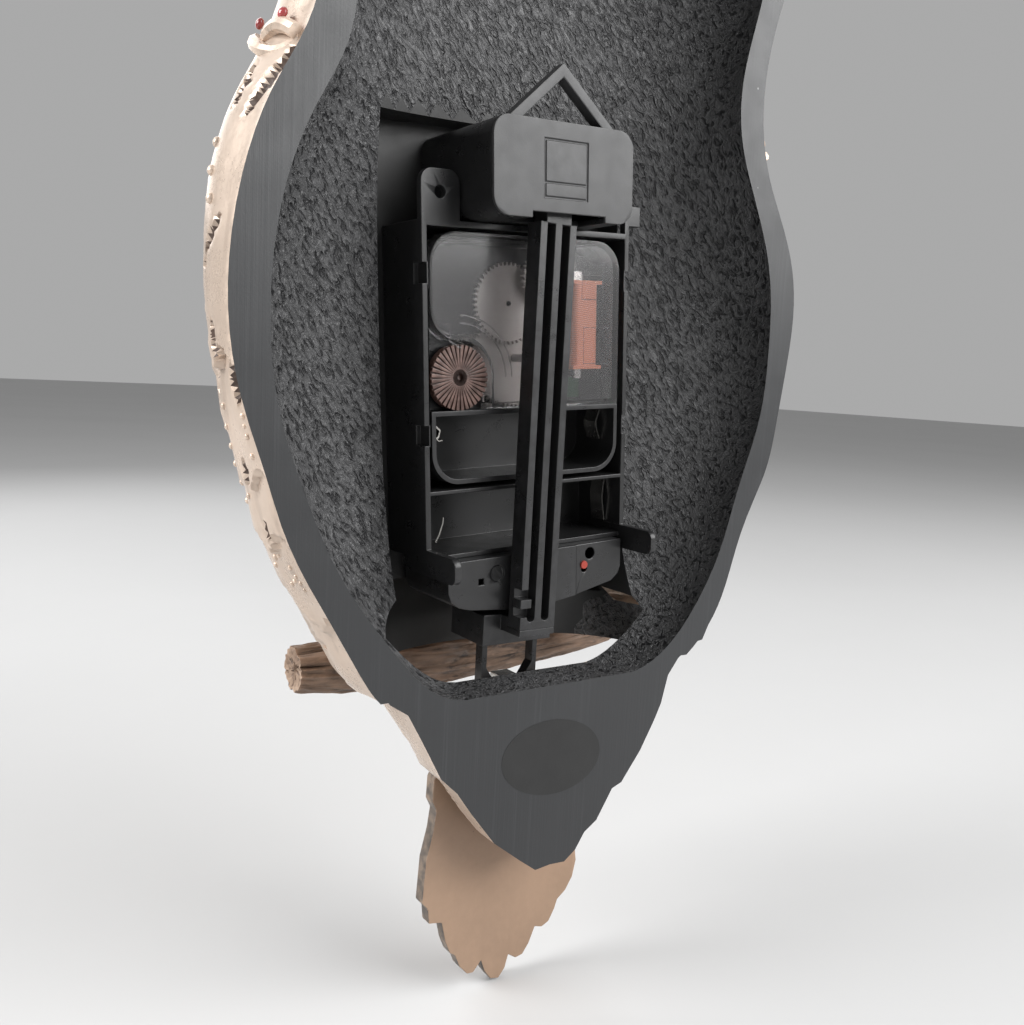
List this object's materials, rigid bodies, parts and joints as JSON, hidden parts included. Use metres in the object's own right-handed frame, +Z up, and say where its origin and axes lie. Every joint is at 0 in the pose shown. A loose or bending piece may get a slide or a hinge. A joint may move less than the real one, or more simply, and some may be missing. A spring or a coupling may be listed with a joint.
{
  "type": "owl pendulum wall clock",
  "caption": "Hollow cast owl wall clock with a battery pendulum movement set in its open back, a hanging loop, a front dial with hands, a perch, and a tail that swings.",
  "frame": {"origin": "inner top corner of the hanging loop, where the nail bears, in the plane of the wall", "axes": "+Z up as the clock hangs, +Y into the wall, -Y out of the clock's face, +X to the right of someone who reads the dial"},
  "size_m": [0.1589, 0.0631, 0.338],
  "materials": {
    "cast_resin": "satin charcoal paint over cast resin, rough inside the hollow",
    "painted_resin": "painted cast resin, tan to bronze",
    "bark_resin": "painted cast resin with a bark relief",
    "bronze_trim": "aged bronze paint",
    "eye_gloss": "clear coated amber dome",
    "dial_card": "printed dial, here left plain",
    "hand_metal": "black painted pressed metal",
    "brass_fitting": "turned brass",
    "black_moulding": "black injection moulding with a fine grain",
    "clear_cover": "smoke-tinted clear moulding",
    "brown_moulding": "dark brown moulding",
    "gear_plastic": "pale translucent moulding",
    "coil_wire": "enamelled copper winding under clear film",
    "steel": "plain steel",
    "board": "circuit board",
    "nickel": "nickel plated spring strip"
  },
  "bodies": {
    "clock": {"owl_body": "cast_resin", "branch": "bark_resin", "foot_left": "painted_resin", "foot_right": "painted_resin", "eye_ring_left": "bronze_trim", "eye_ring_right": "bronze_trim", "eye_left": "eye_gloss", "eye_right": "eye_gloss", "beak": "painted_resin", "dial": "dial_card", "dial_bezel": "bronze_trim", "bush_washer": "steel", "bush_nut": "brass_fitting", "module_case": "black_moulding", "module_cover": "clear_cover", "stepper_coil": "coil_wire", "stepper_stator": "steel", "circuit_board": "board", "negative_contact": "nickel", "positive_contact": "nickel", "lower_negative_contact": "nickel", "lower_positive_contact": "nickel", "movement_frame": "black_moulding", "drive_cover": "black_moulding", "drive_coil": "coil_wire", "hanger_housing": "black_moulding", "pivot_pin": "steel", "hanger_cover": "black_moulding", "hanger_loop": "black_moulding"},
    "minute_group": {"minute_arbor": "gear_plastic", "minute_hand": "hand_metal", "hand_cap": "brass_fitting"},
    "hour_group": {"hour_wheel": "gear_plastic", "hour_hand": "hand_metal"},
    "reverse_group": {"reverse_wheel": "gear_plastic"},
    "knob_group": {"setting_knob": "brown_moulding"},
    "minute_drive": {"minute_wheel": "gear_plastic"},
    "third_group": {"third_wheel": "gear_plastic"},
    "seconds_group": {"seconds_wheel": "gear_plastic"},
    "rotor_group": {"rotor": "steel"},
    "pendulum": {"pendulum_arm": "black_moulding", "pendulum_magnet": "steel", "stirrup": "black_moulding"},
    "tail_bob": {"tail_hook": "steel", "tail": "painted_resin"}
  },
  "joints": [
    {"name": "minute_turn", "type": "hinge", "parent": "clock", "child": "minute_group", "pos_m": [-0.0038, 0, -0.06218], "axis": [0, 1, 0], "continuous": true},
    {"name": "hour_turn", "type": "hinge", "parent": "clock", "child": "hour_group", "pos_m": [-0.0038, 0, -0.06218], "axis": [0, 1, 0], "continuous": true},
    {"name": "reverse_turn", "type": "hinge", "parent": "clock", "child": "reverse_group", "pos_m": [0.00583, 0, -0.06486], "axis": [0, 1, 0], "continuous": true},
    {"name": "knob_turn", "type": "hinge", "parent": "clock", "child": "knob_group", "pos_m": [0.01594, 0, -0.0677], "axis": [0, 1, 0], "continuous": true},
    {"name": "rotor_turn", "type": "hinge", "parent": "clock", "child": "rotor_group", "pos_m": [-0.01541, 0, -0.03848], "axis": [0, 1, 0], "continuous": true},
    {"name": "seconds_turn", "type": "hinge", "parent": "clock", "child": "seconds_group", "pos_m": [-0.009, 0, -0.04256], "axis": [0, 1, 0], "continuous": true},
    {"name": "third_turn", "type": "hinge", "parent": "clock", "child": "third_group", "pos_m": [0.00006, 0, -0.04914], "axis": [0, 1, 0], "continuous": true},
    {"name": "minute_drive_turn", "type": "hinge", "parent": "clock", "child": "minute_drive", "pos_m": [-0.0038, 0, -0.06218], "axis": [0, 1, 0], "continuous": true},
    {"name": "pendulum_swing", "type": "hinge", "parent": "clock", "child": "pendulum", "pos_m": [-0.00228, -0.006, -0.0192], "axis": [0, 1, 0], "range_deg": [-7, 7]},
    {"name": "tail_hang", "type": "hinge", "parent": "pendulum", "child": "tail_bob", "pos_m": [-0.00228, -0.016, -0.1449], "axis": [1, 0, 0], "range_deg": [-8, 3]}
  ],
  "couplings": [
    {"joint": "hour_turn", "follows": "minute_turn", "ratio": 0.083333},
    {"joint": "reverse_turn", "follows": "minute_turn", "ratio": -0.33333},
    {"joint": "knob_turn", "follows": "minute_turn", "ratio": 0.83333},
    {"joint": "seconds_turn", "follows": "rotor_turn", "ratio": -0.1875},
    {"joint": "third_turn", "follows": "rotor_turn", "ratio": 0.03125},
    {"joint": "minute_drive_turn", "follows": "rotor_turn", "ratio": -0.0041667}
  ]
}
